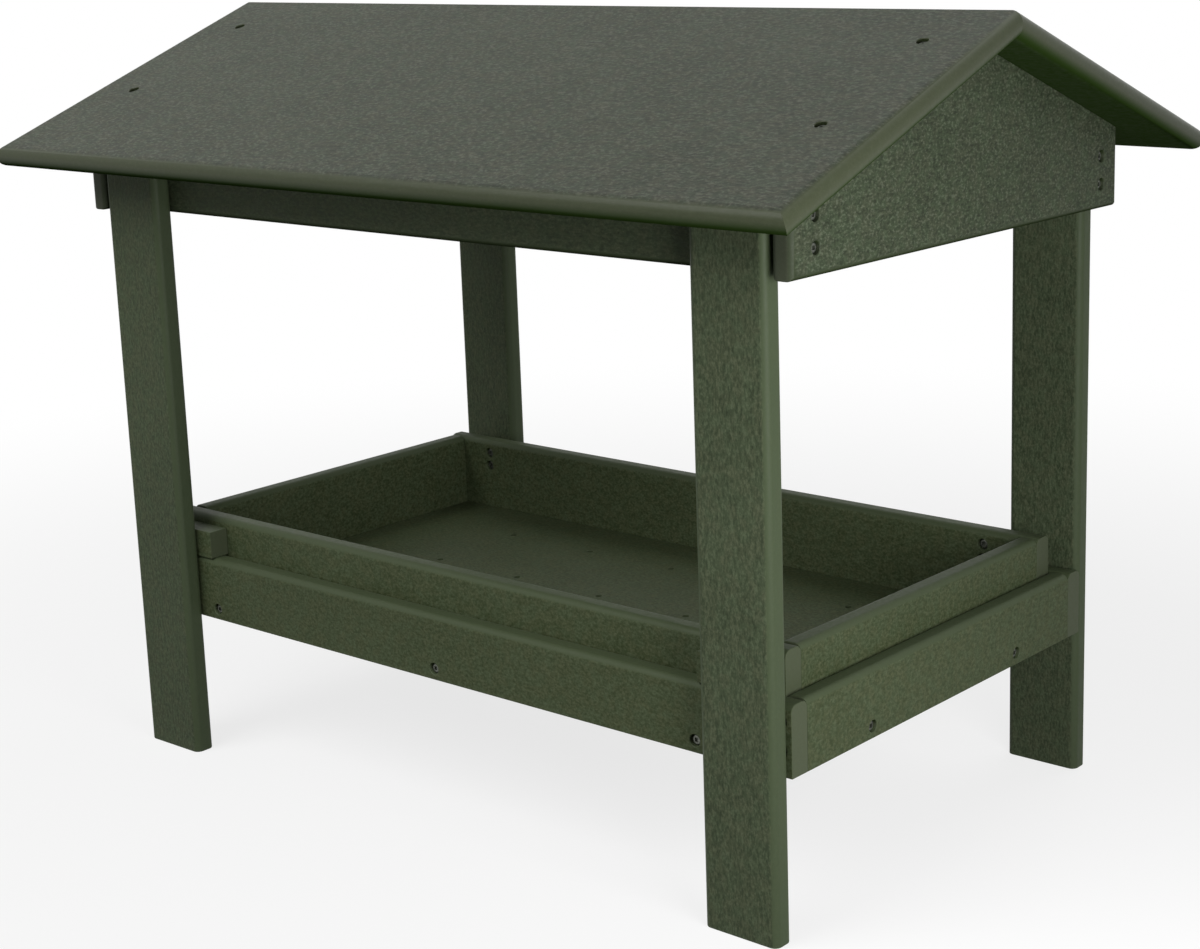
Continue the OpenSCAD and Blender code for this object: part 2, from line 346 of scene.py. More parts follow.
@dataclass(frozen=True)
class BoardFinish:
    """Recycled plastic board: speckled broad faces, smooth narrow ones, greyer sawn ends and painted shade
    on the faces turned to the ground.

    Attributes:
        dark: The deeper of its two greens.
        light: The paler one.
        warm: The browner green that the paler one drifts to.
        speck: The colour of the small pale specks.
        routed: The colour of the narrow faces and the rounded edges.
        sawn: The colour of the board's two ends.
        shaded: Painted shade: the darker colour given to the faces turned to the ground.
        streak_long: Length of a streak along the board.
        streak_wide: Width of a streak.
        speck_long: Length of a speck.
        speck_wide: Width of a speck.
        speck_share: How much of a speck's colour shows.
        cloud: Size of the slow changes of tone.
        drift: Size of the browner patches.
        sheen_level: Strength of the plastic's reflection.
        roughness: How matt the broad faces are.
        routed_roughness: How matt the narrow ones are.
        relief: Height of the surface's grain.
        mottle: How the pattern is put together.
    """

    dark: Colour
    light: Colour
    warm: Colour
    speck: Colour
    routed: Colour
    sawn: Colour
    shaded: Colour
    streak_long: float = 7 * MM
    streak_wide: float = 1.8 * MM
    speck_long: float = 1.9 * MM
    speck_wide: float = 1.3 * MM
    speck_share: float = 0.22
    cloud: float = 60 * MM
    drift: float = 9 * MM
    sheen_level: float = 0.16
    roughness: float = 0.58
    routed_roughness: float = 0.5
    relief: float = 0.12 * MM
    mottle: Mottle = Mottle()

    @staticmethod
    def _stretched(graph: FinishGraph, place: Signal, grain: Axis, long: float, wide: float) -> Signal:
        """Scales a place so that one unit is one streak.

        Args:
            graph: The material's graph.
            place: The place in metres.
            grain: The way that the streak runs.
            long: The streak's length.
            wide: Its width.

        Returns:
            The scaled place.
        """
        scale = [1 / wide] * 3
        scale[grain.value] = 1 / long
        return graph.vector("MULTIPLY", place, scale)

    def _facing(self, graph: FinishGraph, normal: Signal, way: Axis, tilt: float) -> Signal:
        """Finds the flat faces that look along one of the board's own directions.

        Args:
            graph: The material's graph.
            normal: The surface's direction in the frame.
            way: The board's direction.
            tilt: The board's turn about X, in radians.

        Returns:
            A mask that is 1 on those faces.
        """
        if tilt:
            settings, sockets = {"rotation_type": "X_AXIS"}, {"Vector": normal, "Angle": -tilt}
            normal = graph.signal("ShaderNodeVectorRotate", "Vector", settings, sockets)
        part = graph.signal("ShaderNodeSeparateXYZ", way.value, None, {"Vector": normal})
        return part.size().between(*self.mottle.square_range)

    def material(
        self, name: str, grain: Axis, face: Axis, seed: int, tilt: float = 0.0
    ) -> bpy.types.Material:
        """Makes the finish for one board.

        Args:
            name: The material's name.
            grain: The way that the board was drawn.
            face: The way that its broad faces look.
            seed: A number that shifts the pattern, so that no two boards are alike.
            tilt: The board's turn about X, in radians.

        Returns:
            The material.
        """
        mottle = self.mottle
        material, graph = FinishGraph.new_material(name)
        coordinates = graph.node("ShaderNodeTexCoord")
        normal = Signal(graph, coordinates.outputs["Normal"])
        place = Signal(graph, coordinates.outputs["Object"])
        place = graph.vector("ADD", place, [step * seed for step in mottle.shift])
        streaks = self._stretched(graph, place, grain, self.streak_long, self.streak_wide)
        specks = self._stretched(graph, place, grain, self.speck_long, self.speck_wide)
        cloud = graph.noise(place, 1 / self.cloud, mottle.detail).between(*mottle.cloud_range)
        drift = graph.noise(place, 1 / self.drift, mottle.detail).between(*mottle.drift_range)
        streak = graph.noise(streaks, 1.0, mottle.detail, mottle.streak_broken).between(*mottle.streak_range)
        grit = graph.noise(specks, 1.0, mottle.detail, mottle.grit_broken).between(*mottle.grit_range)

        routed = 1.0 - self._facing(graph, normal, face, tilt)
        sawn = self._facing(graph, normal, grain, tilt)
        upward = graph.signal("ShaderNodeSeparateXYZ", Axis.Z.value, None, {"Vector": normal})
        ground = (0.0 - upward).between(*mottle.ground_range)
        flat = 1.0 - mottle.routed_calm * routed

        of_cloud, of_streak, of_grit = mottle.tone_shares
        tone = of_cloud * cloud + of_streak * streak + of_grit * grit
        colour = graph.blend(tone, self.dark, graph.blend(drift, self.light, self.warm))
        colour = graph.blend(grit.between(*mottle.pale_range) * self.speck_share, colour, self.speck)
        colour = graph.blend(routed * mottle.routed_share, colour, graph.blend(sawn, self.routed, self.sawn))
        # Painted shade: faces turned to the ground take the darker shaded colour, keeping a little of the
        # pattern.
        painted_underside_shade = graph.blend(mottle.shaded_tone * tone * flat, self.shaded, self.light)
        colour = graph.blend(ground, colour, painted_underside_shade)

        of_streak, of_grit = mottle.relief_shares
        bump = graph.signal("ShaderNodeBump", "Normal", None, {
            "Strength": mottle.relief_strength,
            "Distance": self.relief,
            "Height": (of_streak * streak + of_grit * grit) * flat,
        })
        roughness = self.roughness + mottle.streak_dull * streak
        roughness = roughness + (self.routed_roughness - self.roughness) * routed
        # Faces turned to the ground also get a shader without gloss, so they show no reflection.
        upper_gloss, matt = (
            graph.node("ShaderNodeBsdfPrincipled", None, {
                "Base Color": colour,
                "Roughness": rough,
                "Specular IOR Level": level,
                "Normal": bump,
            })
            for rough, level in ((roughness, self.sheen_level), (1.0, 0.0))
        )
        graph.surface(graph.mix(ground, upper_gloss, matt))
        return material


@dataclass(frozen=True)
class SteelFinish:
    """Dull stainless steel, with fine marks from forming.

    Attributes:
        bright: The metal's colour.
        dull: Its colour in the marks.
        roughness: How matt it is.
        mark: Size of a mark.
        mark_range: The values of the noise that count as no mark and as a full one.
        mark_dull: How much rougher a mark is.
        relief: Depth of a mark.
        relief_strength: Strength of the relief.
    """

    bright: Colour = (0.17, 0.18, 0.155, 1.0)
    dull: Colour = (0.08, 0.085, 0.07, 1.0)
    roughness: float = 0.42
    mark: float = 0.9 * MM
    mark_range: Range = (0.35, 0.7)
    mark_dull: float = 0.15
    relief: float = 0.05 * MM
    relief_strength: float = 0.2

    def material(self, name: str) -> bpy.types.Material:
        """Makes the finish.

        Args:
            name: The material's name.

        Returns:
            The material.
        """
        material, graph = FinishGraph.new_material(name)
        place = graph.signal("ShaderNodeTexCoord", "Object")
        marks = graph.noise(place, 1 / self.mark, 3.0).between(*self.mark_range)
        relief = {"Strength": self.relief_strength, "Distance": self.relief, "Height": marks}
        shader = graph.node("ShaderNodeBsdfPrincipled", None, {
            "Base Color": graph.blend(marks, self.bright, self.dull),
            "Metallic": 1.0,
            "Roughness": self.roughness + self.mark_dull * marks,
            "Normal": graph.signal("ShaderNodeBump", "Normal", None, relief),
        })
        graph.surface(shader)
        return material


LEG_GREEN = BoardFinish(
    dark=(0.025, 0.036, 0.017, 1.0),
    light=(0.085, 0.111, 0.061, 1.0),
    warm=(0.092, 0.109, 0.061, 1.0),
    speck=(0.13, 0.155, 0.10, 1.0),
    routed=(0.058, 0.078, 0.040, 1.0),
    sawn=(0.065, 0.080, 0.047, 1.0),
    shaded=(0.030, 0.042, 0.018, 1.0),
    streak_long=7 * MM,
    streak_wide=2.1 * MM,
    speck_long=2.6 * MM,
    speck_wide=1.6 * MM,
    speck_share=0.15,
)
TRAY_GREEN = BoardFinish(
    dark=(0.028, 0.040, 0.013, 1.0),
    light=(0.085, 0.110, 0.058, 1.0),
    warm=(0.091, 0.107, 0.055, 1.0),
    speck=(0.12, 0.14, 0.09, 1.0),
    routed=(0.060, 0.079, 0.040, 1.0),
    sawn=(0.069, 0.083, 0.048, 1.0),
    shaded=(0.030, 0.042, 0.016, 1.0),
    streak_long=3.8 * MM,
    streak_wide=2.6 * MM,
    speck_long=2.2 * MM,
    speck_wide=1.8 * MM,
    speck_share=0.1,
)
GABLE_GREEN = BoardFinish(
    dark=(0.013, 0.019, 0.008, 1.0),
    light=(0.071, 0.095, 0.054, 1.0),
    warm=(0.078, 0.093, 0.056, 1.0),
    speck=(0.17, 0.19, 0.14, 1.0),
    routed=(0.044, 0.056, 0.031, 1.0),
    sawn=(0.058, 0.068, 0.042, 1.0),
    shaded=(0.030, 0.042, 0.018, 1.0),
    streak_long=5 * MM,
    streak_wide=2.0 * MM,
    speck_long=2.6 * MM,
    speck_wide=1.7 * MM,
    speck_share=0.26,
)
ROOF_GREEN = BoardFinish(
    dark=(0.007, 0.011, 0.004, 1.0),
    light=(0.068, 0.084, 0.056, 1.0),
    warm=(0.078, 0.083, 0.057, 1.0),
    speck=(0.15, 0.16, 0.13, 1.0),
    routed=(0.046, 0.056, 0.027, 1.0),
    sawn=(0.046, 0.056, 0.027, 1.0),
    # Painted shade: the roof's faces turned to the ground get this much darker, greener colour than its top.
    shaded=(0.020, 0.040, 0.007, 1.0),
    streak_long=8 * MM,
    streak_wide=2.2 * MM,
    speck_long=3.4 * MM,
    speck_wide=2.0 * MM,
    speck_share=0.26,
    sheen_level=0.2,
    roughness=0.5,
    routed_roughness=0.34,
)


class Bench:
    """The modelling steps that the boards and screws share."""

    @staticmethod
    def clear() -> None:
        """Leaves edit mode and deselects everything."""
        if bpy.context.object and bpy.context.object.mode != "OBJECT":
            bpy.ops.object.mode_set(mode="OBJECT")
        bpy.ops.object.select_all(action="DESELECT")

    @staticmethod
    def take(piece: bpy.types.Object) -> None:
        """Makes a piece the only one selected.

        Args:
            piece: The piece.
        """
        Bench.clear()
        piece.select_set(True)
        bpy.context.view_layer.objects.active = piece

    @staticmethod
    def settle(piece: bpy.types.Object) -> None:
        """Puts a piece's place, turn and scale into its mesh."""
        Bench.take(piece)
        bpy.ops.object.transform_apply(location=True, rotation=True, scale=True)

    @staticmethod
    def block(name: str, low: Vector, high: Vector) -> bpy.types.Object:
        """Adds a block between two corners.

        Args:
            name: The new piece's name.
            low: Its lowest corner.
            high: Its highest corner.

        Returns:
            The block.
        """
        Bench.clear()
        bpy.ops.mesh.primitive_cube_add(size=1.0, location=(low + high) / 2, scale=high - low)
        piece = bpy.context.object
        piece.name = name
        Bench.settle(piece)
        return piece

    @staticmethod
    def pick_edges(piece: bpy.types.Object, wanted: EdgeTest) -> None:
        """Enters edit mode and selects edges by their place and direction.

        Args:
            piece: The piece to work on.
            wanted: Says of an edge's middle and direction whether it is selected.
        """
        Bench.take(piece)
        bpy.ops.object.mode_set(mode="EDIT")
        bpy.ops.mesh.select_mode(type="EDGE")
        bpy.ops.mesh.select_all(action="DESELECT")
        mesh = bmesh.from_edit_mesh(piece.data)
        for edge in mesh.edges:
            ends = [v.co for v in edge.verts]
            if wanted((ends[0] + ends[1]) / 2, (ends[1] - ends[0]).normalized()):
                edge.select = True
        bmesh.update_edit_mesh(piece.data)

    @staticmethod
    def round_edges(piece: bpy.types.Object, radius: float, steps: int, wanted: EdgeTest) -> None:
        """Rounds some edges of a piece.

        Args:
            piece: The piece to work on.
            radius: The rounding's radius.
            steps: The number of faces across the rounding.
            wanted: Says of an edge's middle and direction whether it is rounded.
        """
        Bench.pick_edges(piece, wanted)
        bpy.ops.mesh.bevel(offset=radius, offset_type="OFFSET", segments=steps, profile=0.5, affect="EDGES")
        bpy.ops.object.mode_set(mode="OBJECT")

    @staticmethod
    def slice(piece: bpy.types.Object, point: Vector, outward: Vector) -> None:
        """Cuts a piece along a plane and closes the cut.

        Args:
            piece: The piece to work on.
            point: A point on the plane.
            outward: The side that is cut away.
        """
        Bench.take(piece)
        bpy.ops.object.mode_set(mode="EDIT")
        bpy.ops.mesh.select_all(action="SELECT")
        bpy.ops.mesh.bisect(plane_co=point, plane_no=outward, use_fill=True, clear_outer=True)
        bpy.ops.object.mode_set(mode="OBJECT")

    @staticmethod
    def subtract(piece: bpy.types.Object, cutter: bpy.types.Object) -> None:
        """Cuts one piece out of another and removes the cutter.

        Args:
            piece: The piece that keeps the hole.
            cutter: The piece that is cut out of it.
        """
        Bench.take(piece)
        modifier = piece.modifiers.new("cut", "BOOLEAN")
        modifier.operation = "DIFFERENCE"
        modifier.solver = "EXACT"
        modifier.object = cutter
        bpy.ops.object.modifier_apply(modifier=modifier.name)
        bpy.data.objects.remove(cutter)

    @staticmethod
    def copies(master: bpy.types.Object, places: Iterable[Matrix], name: str) -> bpy.types.Object:
        """Copies a master to several places and joins the copies into one piece.

        Args:
            master: The piece that is copied. It is removed at the end.
            places: Where the copies go.
            name: The joined piece's name.

        Returns:
            The joined piece, with its place in its mesh.
        """
        made = []
        for place in places:
            Bench.take(master)
            bpy.ops.object.duplicate(linked=False)
            copy = bpy.context.object
            copy.matrix_world = place @ master.matrix_world
            Bench.settle(copy)
            made.append(copy)
        bpy.data.objects.remove(master)
        Bench.clear()
        for copy in made:
            copy.select_set(True)
        bpy.context.view_layer.objects.active = made[0]
        if len(made) > 1:
            bpy.ops.object.join()
        made[0].name = name
        return made[0]

    @staticmethod
    def smooth(piece: bpy.types.Object, angle: float) -> None:
        """Shades the roundings smooth and keeps the flat faces flat.

        Args:
            piece: The piece to shade.
            angle: Edges sharper than this stay sharp, in degrees.
        """
        Bench.take(piece)
        bpy.ops.object.shade_smooth_by_angle(angle=math.radians(angle))
        modifier = piece.modifiers.new("weights", "WEIGHTED_NORMAL")
        modifier.keep_sharp = True
        bpy.ops.object.modifier_apply(modifier=modifier.name)

    @staticmethod
    def hand_over(piece: bpy.types.Object, material: bpy.types.Material, slot: Slot, node: str) -> None:
        """Dresses a finished piece and lets it stand for its node.

        Args:
            piece: The finished piece.
            material: Its finish.
            slot: The record's slot for that finish; not used.
            node: The node that it replaces.
        """
        piece.data.materials.clear()
        piece.data.materials.append(material)
        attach(piece, BODY)
        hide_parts(node)
        log.info("%s: %d faces", piece.name, len(piece.data.polygons))


@dataclass(frozen=True)
class ScrewPlace:
    """Where a screw sits.

    Attributes:
        seat: The middle of the face under its head.
        outward: The way that its head faces.
        length: From that face to the tip.
    """

    seat: Vector
    outward: Vector
    length: float

    def matrix(self) -> Matrix:
        """The move that takes an upright screw, seated at the origin, to its place."""
        turn = Vector((0, 0, 1)).rotation_difference(self.outward)
        return Matrix.Translation(self.seat) @ turn.to_matrix().to_4x4()


@dataclass
class ScrewSet:
    """All the screws of one kind, read from the frame and modelled with threads and square recesses.

    Attributes:
        node: The frame's node that holds them.
        head_r: Radius of a head.
        head_h: Height of a head.
        drive: Width of the square recess.
        drive_depth: Depth of that recess.
        crest_r: Radius over the thread.
        root_r: Radius between the threads.
        pitch: Distance from one thread to the next.
        plain: Length of the shank under the head that has no thread.
        tip: Length of the point.
        bore_r: Radius of the counterbore.
        bore_depth: Depth of the counterbore.
        gap: Gap between the shank and its hole.
        rim: Width of the bevel round the counterbore's mouth.
        hole_sides: Faces round a hole.
        head_sides: Faces round a head.
        shank_sides: Faces round a shank.
        turn_rings: Rings of points in one turn of the thread.
        ridge: How narrow the thread is: at 2 it fills its turn, and above that a part stays bare.
        blunt: Share of the shank's width that is left at the very tip.
        smooth_to: Edges that turn by less than this are shaded smooth, in degrees.
        places: Where the screws sit.
    """

    node: str
    head_r: float = 3.7 * MM
    head_h: float = 2.6 * MM
    drive: float = 2.7 * MM
    drive_depth: float = 1.4 * MM
    crest_r: float = 2.0 * MM
    root_r: float = 1.45 * MM
    pitch: float = 2.4 * MM
    plain: float = 4 * MM
    tip: float = 4 * MM
    bore_r: float = 4.0 * MM
    bore_depth: float = 4.5 * MM
    gap: float = 0.1 * MM
    rim: float = 0.45 * MM
    hole_sides: int = 32
    head_sides: int = 36
    shank_sides: int = 14
    turn_rings: int = 6
    ridge: float = 3.4
    blunt: float = 0.12
    smooth_to: float = 35.0
    places: list[ScrewPlace] = field(init=False)

    def __post_init__(self) -> None:
        """Reads the screws' places from the frame."""
        self.places = self._read()

    def _read(self) -> list[ScrewPlace]:
        """Finds each screw's seat, direction and length in the node's mesh.

        Returns:
            The places, in a fixed order.
        """
        mesh = bmesh.new()
        mesh.from_mesh(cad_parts[self.node].data)
        bmesh.ops.remove_doubles(mesh, verts=mesh.verts, dist=0.001 * MM)
        waiting = dict.fromkeys(mesh.verts)
        places = []
        while waiting:
            places.append(self._place(self._island(waiting)))
        mesh.free()
        places.sort(key=lambda p: tuple(round(c, 4) for c in p.seat))
        return places

    @staticmethod
    def _island(waiting: dict[bmesh.types.BMVert, None]) -> list[Vector]:
        """Takes one connected solid out of the waiting vertices.

        Args:
            waiting: The vertices that belong to no solid yet, as keys in the mesh's order, which
                keeps each run the same.

        Returns:
            The solid's points.
        """
        start = next(iter(waiting))
        del waiting[start]
        queue, points = [start], [start.co.copy()]
        while queue:
            for edge in queue.pop().link_edges:
                for vert in edge.verts:
                    if vert in waiting:
                        del waiting[vert]
                        queue.append(vert)
                        points.append(vert.co.copy())
        return points

    def _place(self, points: list[Vector]) -> ScrewPlace:
        """Works out one screw's place from its points.

        Args:
            points: The points of the screw's mesh.

        Returns:
            The screw's place.
        """
        # The two points farthest apart lie on the head's rim and at the tip, and give a rough axis.
        # For one of them, every few points are enough.
        starts = points[:: max(1, len(points) // 60)]
        ends = max(
            ((a, b) for a in starts for b in points), key=lambda pair: (pair[0] - pair[1]).length_squared
        )
        rough_axis = (ends[1] - ends[0]).normalized()
        half = (ends[0] - ends[1]).length / 2
        middle = (ends[0] + ends[1]) / 2
        top = [p for p in points if (p - middle).dot(rough_axis) > 0]
        low = [p for p in points if (p - middle).dot(rough_axis) <= 0]

        def spread(group: list[Vector]) -> float:
            """The greatest distance of a point from the rough axis."""
            return max((p - middle - (p - middle).dot(rough_axis) * rough_axis).length for p in group)

        if spread(low) > spread(top):
            rough_axis, top, low = -rough_axis, low, top
        near_tip = min((p - middle).dot(rough_axis) for p in low) + self.root_r * 0.5
        tip_ring = [p for p in low if (p - middle).dot(rough_axis) < near_tip]
        tip_point = sum(tip_ring, Vector()) / len(tip_ring)
        near_top = half - self.head_h * 0.8
        head_ring = [p for p in top if (p - middle).dot(rough_axis) > near_top]
        head_low, head_high = extent(head_ring)
        head_point = (head_low + head_high) / 2
        axis = (head_point - tip_point).normalized()
        levels = [p.dot(axis) for p in points]
        length = max(levels) - min(levels) - self.head_h
        seat = tip_point + axis * (max(levels) - self.head_h - tip_point.dot(axis))
        return ScrewPlace(seat, axis, length)

    def cutter(self, places: Sequence[ScrewPlace]) -> bpy.types.Object:
        """Makes the tool that drills the holes of some of the screws.

        Args:
            places: The screws whose holes are drilled.

        Returns:
            The joined cutters.
        """
        past = 1 * MM
        flare = self.rim * 3
        length = max(p.length for p in places)
        hole_r = self.crest_r + self.gap
        Bench.clear()
        bpy.ops.mesh.primitive_circle_add(
            vertices=self.hole_sides, radius=hole_r, fill_type="NGON", location=(0, 0, -length - past)
        )
        master = bpy.context.object
        Bench.settle(master)
        bpy.ops.object.mode_set(mode="EDIT")
        bpy.ops.mesh.select_all(action="SELECT")
        for rise, growth in (
            (length + past, 1.0),
            (0.0, self.bore_r / hole_r),
            (self.bore_depth - self.rim, 1.0),
            (flare, (self.bore_r + flare) / self.bore_r),
        ):
            bpy.ops.mesh.extrude_region_move(TRANSFORM_OT_translate={"value": (0, 0, rise)})
            if growth != 1.0:
                bpy.ops.transform.resize(value=(growth, growth, 1.0))
        bpy.ops.mesh.select_all(action="SELECT")
        bpy.ops.mesh.normals_make_consistent(inside=False)
        bpy.ops.object.mode_set(mode="OBJECT")
        return Bench.copies(master, [p.matrix() for p in places], self.node + "_cutter")

    def _threaded_shank(self, length: float) -> bpy.types.Object:
        """Models the shank of one screw, its thread wound round it.

        Args:
            length: From the head's underside to the tip.

        Returns:
            The shank, pointing down from the origin.
        """
        Bench.clear()
        bpy.ops.mesh.primitive_cylinder_add(
            vertices=self.shank_sides, radius=self.crest_r, depth=length, location=(0, 0, -length / 2)
        )
        shank = bpy.context.object
        Bench.settle(shank)
        Bench.pick_edges(shank, lambda middle, way: abs(way.z) > ALONG)
        bpy.ops.mesh.subdivide(number_cuts=int(length / self.pitch * self.turn_rings))
        bpy.ops.object.mode_set(mode="OBJECT")
        for vert in shank.data.vertices:
            x, y, z = vert.co
            radius = math.hypot(x, y)
            if radius < self.root_r:
                continue
            turn = (z / self.pitch - math.atan2(y, x) / math.tau) % 1.0
            ridge = max(0.0, 1.0 - abs(turn - 0.5) * self.ridge)
            start = min(1.0, max(0.0, (-z - self.plain) / self.pitch))
            wound = self.root_r + (self.crest_r - self.root_r) * ridge
            wanted = self.crest_r + (wound - self.crest_r) * start
            taper = min(1.0, (z + length) / self.tip + self.blunt)
            vert.co.x, vert.co.y = x / radius * wanted * taper, y / radius * wanted * taper
        return shank

    def _head(self) -> bpy.types.Object:
        """Models a head with a rounded top and a square recess.

        Returns:
            The head, sitting on the origin.
        """
        Bench.clear()
        bpy.ops.mesh.primitive_cylinder_add(
            vertices=self.head_sides, radius=self.head_r, depth=self.head_h, location=(0, 0, self.head_h / 2)
        )
        head = bpy.context.object
        Bench.settle(head)
        brow = self.head_h * 0.9
        Bench.round_edges(
            head, self.head_h * 0.5, 4, lambda middle, way: middle.z > brow and abs(way.z) < 1.0 - ALONG
        )
        half = self.drive / 2
        recess = Bench.block(
            "recess",
            Vector((-half, -half, self.head_h - self.drive_depth)),
            Vector((half, half, self.head_h + self.drive_depth)),
        )
        Bench.round_edges(recess, self.drive * 0.08, 2, lambda middle, way: abs(way.z) > ALONG)
        Bench.subtract(head, recess)
        return head

    def build(self, material: bpy.types.Material) -> None:
        """Models the screws and hands them over.

        Args:
            material: The steel finish.
        """
        length = self.places[0].length
        shank = self._threaded_shank(length)
        head = self._head()
        Bench.take(head)
        shank.select_set(True)
        bpy.ops.object.join()
        piece = Bench.copies(head, [p.matrix() for p in self.places], self.node + "_steel")
        Bench.smooth(piece, self.smooth_to)
        Bench.hand_over(piece, material, Slot.STEEL, self.node)


@dataclass
class BoardMaker:
    """Turns a node of the frame into a finished board.

    Attributes:
        screws: All the screw sets, by their node's name.
        edge_r: Radius of the routed edges.
        edge_steps: Faces across a routed edge.
        sawn_r: Softening of the sawn ones.
        sawn_from: Only edges that turn by more than this are softened, in degrees.
        smooth_to: Edges that turn by less than this are shaded smooth, in degrees.
        reach: How near to a board a screw counts as reaching it.
        samples: Points looked at along a screw.
        made: How many boards are made, which gives each one its own pattern.
    """

    screws: dict[str, ScrewSet]
    edge_r: float = 5 * MM
    edge_steps: int = 7
    sawn_r: float = 0.6 * MM
    sawn_from: float = 50.0
    smooth_to: float = 40.0
    reach: float = 0.5 * MM
    samples: int = 12
    made: int = 0

    @staticmethod
    def rough_block(node: str) -> bpy.types.Object:
        """A block of the node's size, at its place."""
        return Bench.block(node + "_board", *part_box(node))

    def rout(self, board: bpy.types.Object, wanted: EdgeTest) -> None:
        """Rounds the edges for which wanted, given an edge's middle and direction, is true."""
        Bench.round_edges(board, self.edge_r, self.edge_steps, wanted)

    def soften(self, board: bpy.types.Object) -> None:
        """Takes the sharpness off every edge where two faces still meet squarely.

        Args:
            board: The board.
        """
        Bench.take(board)
        modifier = board.modifiers.new("soften", "BEVEL")
        modifier.width = self.sawn_r
        modifier.segments = 2
        modifier.limit_method = "ANGLE"
        modifier.angle_limit = math.radians(self.sawn_from)
        bpy.ops.object.modifier_apply(modifier=modifier.name)

    def drill(self, board: bpy.types.Object, names: Sequence[str]) -> None:
        """Drills the holes of the screws that reach into a board.

        Args:
            board: The board.
            names: The screw sets that may reach it.
        """
        low, high = extent(board.bound_box)
        for name in names:
            screws = self.screws[name]
            reached = []
            for place in screws.places:
                steps = range(self.samples + 1)
                points = [place.seat - place.outward * place.length * k / self.samples for k in steps]
                points.append(place.seat + place.outward * screws.head_h)
                if any(
                    all(low[i] - self.reach < point[i] < high[i] + self.reach for i in range(3))
                    for point in points
                ):
                    reached.append(place)
            if reached:
                Bench.subtract(board, screws.cutter(reached))

    def finish(
        self,
        board: bpy.types.Object,
        node: str,
        look: BoardFinish,
        grain: Axis,
        face: Axis,
        slot: Slot = Slot.BOARD,
        tilt: float = 0.0,
    ) -> None:
        """Shades, dresses and hands over a board.

        Args:
            board: The shaped board.
            node: The node that it replaces.
            look: The board's finish.
            grain: The way that the board was drawn.
            face: The way that its broad faces look.
            slot: The record's slot for its finish.
            tilt: The board's turn about X, in radians.
        """
        self.made += 1
        Bench.smooth(board, self.smooth_to)
        material = look.material(node + "_finish", grain, face, self.made, tilt)
        Bench.hand_over(board, material, slot, node)

    def make(
        self, node: str, look: BoardFinish, grain: Axis, face: Axis, edges: Edges, names: Sequence[str]
    ) -> None:
        """Makes a straight board from start to end.

        Args:
            node: The node that it replaces.
            look: The board's finish.
            grain: The way that the board and its long edges run.
            face: The way that its broad faces look.
            edges: Which of its long edges are rounded.
            names: The screw sets that may reach it.
        """
        board = self.rough_block(node)
        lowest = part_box(node)[1].z - MM if edges is Edges.UPPER else -math.inf
        if edges is not Edges.NONE:
            self.rout(board, lambda middle, way: abs(way[grain.value]) > ALONG and middle.z > lowest)
        self.soften(board)
        self.drill(board, names)
        self.finish(board, node, look, grain, face)


@dataclass
class Legs:
    """The four flat legs, which stand outside the rails.

    Attributes:
        maker: The board maker.
        screws: The screw sets that reach them.
    """

    maker: BoardMaker
    screws: tuple[str, ...] = ("leg_top_screws", "leg_tray_screws")

    def build(self) -> None:
        """Models the legs."""
        for node in ("leg_front_left", "leg_front_right", "leg_rear_left", "leg_rear_right"):
            self.maker.make(node, LEG_GREEN, Axis.Z, Axis.Y, Edges.ALL, self.screws)


@dataclass
class Skirt:
    """The frame round the tray: two long rails that cap two short ones.

    Attributes:
        maker: The board maker.
        screws: The screw sets that reach all the rails.
    """

    maker: BoardMaker
    screws: tuple[str, ...] = ("skirt_corner_screws", "skirt_floor_screws")

    def build(self) -> None:
        """Models the four rails."""
        for node in ("skirt_rail_front", "skirt_rail_rear"):
            names = ("leg_tray_screws", *self.screws)
            self.maker.make(node, TRAY_GREEN, Axis.X, Axis.Y, Edges.UPPER, names)
        for node in ("skirt_rail_left", "skirt_rail_right"):
            self.maker.make(node, TRAY_GREEN, Axis.Y, Axis.X, Edges.UPPER, self.screws)


